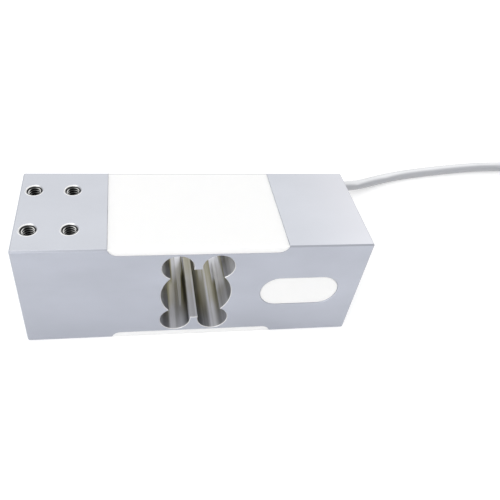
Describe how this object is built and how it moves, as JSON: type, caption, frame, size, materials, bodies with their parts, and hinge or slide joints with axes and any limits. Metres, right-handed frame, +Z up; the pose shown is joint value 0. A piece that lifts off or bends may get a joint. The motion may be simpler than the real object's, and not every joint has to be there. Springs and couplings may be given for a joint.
{
  "type": "single point load cell",
  "caption": "Single point load cell: milled aluminium bending beam with a bored cavity, potted gauges, tapped mounting holes and a signal cable",
  "frame": {"origin": "centre of the beam's underside, in the plane of its lower bearing pad", "axes": "+X along the beam from the loading end to the base end, +Y across it away from the wiring pocket's mouth, +Z up, along the measured load's line"},
  "size_m": [0.4702, 0.1775, 0.065],
  "materials": {
    "aluminium": "milled and anodised, satin",
    "silicone": "smooth white silicone potting",
    "gauge_foil": "amber film with metal foil grid",
    "terminal_copper": "bare copper",
    "wire_insulation": "smooth insulation",
    "circuit_board": "glass-fibre board",
    "resistor_ceramic": "fired ceramic chips",
    "cable_jacket": "smooth pale grey sheath",
    "collar_rubber": "moulded black rubber",
    "tie_nylon": "natural nylon",
    "shrink_sleeve": "heat-shrunk sleeve",
    "lead_red": "smooth insulation",
    "lead_black": "smooth insulation",
    "lead_green": "smooth insulation",
    "lead_white": "smooth insulation",
    "tinned_copper": "tinned strands"
  },
  "bodies": {
    "root": {"beam_body": "aluminium", "top_potting": "silicone", "bottom_potting": "silicone", "pocket_potting": "silicone", "gauge_top_left": "gauge_foil", "gauge_top_right": "gauge_foil", "gauge_bottom_left": "gauge_foil", "gauge_bottom_right": "gauge_foil", "terminal_strip_top": "terminal_copper", "terminal_strip_bottom": "terminal_copper", "gauge_jumpers_top": "terminal_copper", "gauge_jumpers_bottom": "terminal_copper", "bridge_wires_top": "wire_insulation", "bridge_wires_bottom": "wire_insulation", "terminal_board": "circuit_board", "trim_resistors": "resistor_ceramic", "inner_cores": "wire_insulation", "cable_entry": "cable_jacket", "strain_relief": "collar_rubber", "cable_sheath": "cable_jacket", "cable_coil": "cable_jacket", "cable_tail": "cable_jacket", "coil_tie_1": "tie_nylon", "coil_tie_2": "tie_nylon", "end_sleeve": "shrink_sleeve", "lead_red": "lead_red", "lead_black": "lead_black", "lead_green": "lead_green", "lead_white": "lead_white", "lead_shield": "tinned_copper", "tinned_ends": "tinned_copper"}
  },
  "joints": []
}
